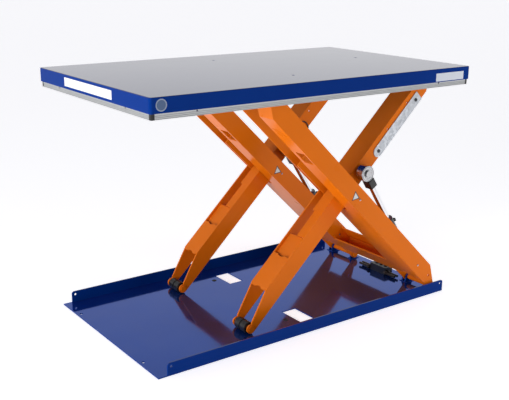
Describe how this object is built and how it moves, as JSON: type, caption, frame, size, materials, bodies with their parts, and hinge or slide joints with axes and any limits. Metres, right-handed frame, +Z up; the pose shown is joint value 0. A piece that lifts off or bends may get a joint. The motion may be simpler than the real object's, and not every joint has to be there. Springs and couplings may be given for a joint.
{
  "type": "scissor lift table",
  "caption": "Low-profile hydraulic scissor lift table: flat steel platform with a sliding safety strip on interleaved channel arms, over a shallow base tray with side flanges.",
  "frame": {"origin": "on the floor under the middle of the platform, at the bottom centre of the raised table", "axes": "+X along the table towards the fixed pivots, +Y across it, +Z up"},
  "size_m": [1.35, 0.8, 0.9],
  "materials": {
    "blue_paint": "gloss",
    "orange_paint": "gloss",
    "zinc_plate": "zinc plated",
    "steel": "turned",
    "black_steel": "black oxide",
    "chrome_rod": "polished",
    "bronze": "satin",
    "strip_aluminium": "anodised",
    "black_plastic": "matte"
  },
  "bodies": {
    "base": {"base_plate": "blue_paint", "base_ear_near": "blue_paint", "base_ear_far": "blue_paint", "base_clevis_near": "blue_paint", "base_clevis_far": "blue_paint", "base_pivot_pin_near": "steel", "base_pivot_pin_far": "steel", "hydraulic_valve_block": "black_steel", "hydraulic_pipes": "black_steel"},
    "outer_frame": {"outer_arm_near": "orange_paint", "outer_arm_far": "orange_paint", "outer_cross_beam": "orange_paint", "center_pin_near": "orange_paint", "center_pin_far": "orange_paint", "upper_axle_near": "steel", "upper_axle_far": "steel", "cylinder_anchor_pin_near": "steel", "cylinder_anchor_pin_far": "steel", "base_pivot_bushes": "bronze"},
    "inner_frame": {"inner_arm_near": "orange_paint", "inner_arm_far": "orange_paint", "inner_cross_tie": "orange_paint", "lower_axle_near": "steel", "lower_axle_far": "steel", "lift_roller_stub_near": "steel", "lift_roller_stub_far": "steel", "guard_plate": "zinc_plate", "guard_plate_bolts": "zinc_plate", "center_bushes": "bronze", "top_pivot_bushes": "bronze"},
    "platform": {"platform_deck": "blue_paint", "deck_stiffeners": "blue_paint", "top_bracket_near": "blue_paint", "top_bracket_far": "blue_paint", "top_pivot_pin_near": "steel", "top_pivot_pin_far": "steel", "safety_hanger_pins": "steel"},
    "safety_frame": {"safety_strip_near": "strip_aluminium", "safety_strip_far": "strip_aluminium", "safety_strip_left": "strip_aluminium", "safety_strip_right": "strip_aluminium", "safety_corner_blocks": "black_plastic"},
    "cylinder_near": {"cylinder_barrel_near": "black_steel", "cylinder_gland_near": "black_steel", "cylinder_port_near": "black_steel"},
    "piston_near": {"piston_rod_near": "chrome_rod", "rod_head_near": "black_steel"},
    "upper_roller_near": {"upper_roller_near": "black_steel"},
    "lower_roller_near": {"lower_roller_near": "black_steel"},
    "lift_roller_near": {"lift_roller_near": "steel"},
    "cylinder_far": {"cylinder_barrel_far": "black_steel", "cylinder_gland_far": "black_steel", "cylinder_port_far": "black_steel"},
    "piston_far": {"piston_rod_far": "chrome_rod", "rod_head_far": "black_steel"},
    "upper_roller_far": {"upper_roller_far": "black_steel"},
    "lower_roller_far": {"lower_roller_far": "black_steel"},
    "lift_roller_far": {"lift_roller_far": "steel"}
  },
  "joints": [
    {"name": "main_fold", "type": "hinge", "parent": "base", "child": "outer_frame", "pos_m": [0.606, 0, 0.025], "axis": [0, 1, 0], "range_deg": [-43.99, 0]},
    {"name": "scissor_centre", "type": "hinge", "parent": "outer_frame", "child": "inner_frame", "pos_m": [0.19101, 0, 0.45], "axis": [0, 1, 0], "range_deg": [0, 87.99]},
    {"name": "platform_pivot", "type": "hinge", "parent": "inner_frame", "child": "platform", "pos_m": [0.606, 0, 0.875], "axis": [0, 1, 0], "range_deg": [-43.99, 0]},
    {"name": "safety_frame_lift", "type": "slide", "parent": "platform", "child": "safety_frame", "axis": [0, 0, 1], "range_m": [0, 0.008]},
    {"name": "cylinder_tilt_near", "type": "hinge", "parent": "outer_frame", "child": "cylinder_near", "pos_m": [0.51127, 0, 0.13384], "axis": [0, 1, 0], "range_deg": [-11.22, 0]},
    {"name": "piston_stroke_near", "type": "slide", "parent": "cylinder_near", "child": "piston_near", "axis": [-0.5343, 0, 0.8453], "range_m": [-0.163, 0]},
    {"name": "upper_roller_spin_near", "type": "hinge", "parent": "outer_frame", "child": "upper_roller_near", "pos_m": [-0.22399, 0, 0.875], "axis": [0, 1, 0], "continuous": true},
    {"name": "lower_roller_spin_near", "type": "hinge", "parent": "inner_frame", "child": "lower_roller_near", "pos_m": [-0.22399, 0, 0.025], "axis": [0, 1, 0], "continuous": true},
    {"name": "lift_roller_spin_near", "type": "hinge", "parent": "inner_frame", "child": "lift_roller_near", "pos_m": [0.26307, 0, 0.52653], "axis": [0, 1, 0], "continuous": true},
    {"name": "cylinder_tilt_far", "type": "hinge", "parent": "outer_frame", "child": "cylinder_far", "pos_m": [0.51127, 0, 0.13384], "axis": [0, 1, 0], "range_deg": [-11.22, 0]},
    {"name": "piston_stroke_far", "type": "slide", "parent": "cylinder_far", "child": "piston_far", "axis": [-0.5343, 0, 0.8453], "range_m": [-0.163, 0]},
    {"name": "upper_roller_spin_far", "type": "hinge", "parent": "outer_frame", "child": "upper_roller_far", "pos_m": [-0.22399, 0, 0.875], "axis": [0, 1, 0], "continuous": true},
    {"name": "lower_roller_spin_far", "type": "hinge", "parent": "inner_frame", "child": "lower_roller_far", "pos_m": [-0.22399, 0, 0.025], "axis": [0, 1, 0], "continuous": true},
    {"name": "lift_roller_spin_far", "type": "hinge", "parent": "inner_frame", "child": "lift_roller_far", "pos_m": [0.26307, 0, 0.52653], "axis": [0, 1, 0], "continuous": true}
  ],
  "couplings": [
    {"joint": "scissor_centre", "follows": "main_fold", "ratio": -2},
    {"joint": "platform_pivot", "follows": "main_fold", "ratio": 1},
    {"joint": "cylinder_tilt_near", "follows": "main_fold", "ratio": 0.2548},
    {"joint": "piston_stroke_near", "follows": "main_fold", "m_per_rad": 0.212},
    {"joint": "cylinder_tilt_far", "follows": "main_fold", "ratio": 0.2548},
    {"joint": "piston_stroke_far", "follows": "main_fold", "m_per_rad": 0.212}
  ]
}
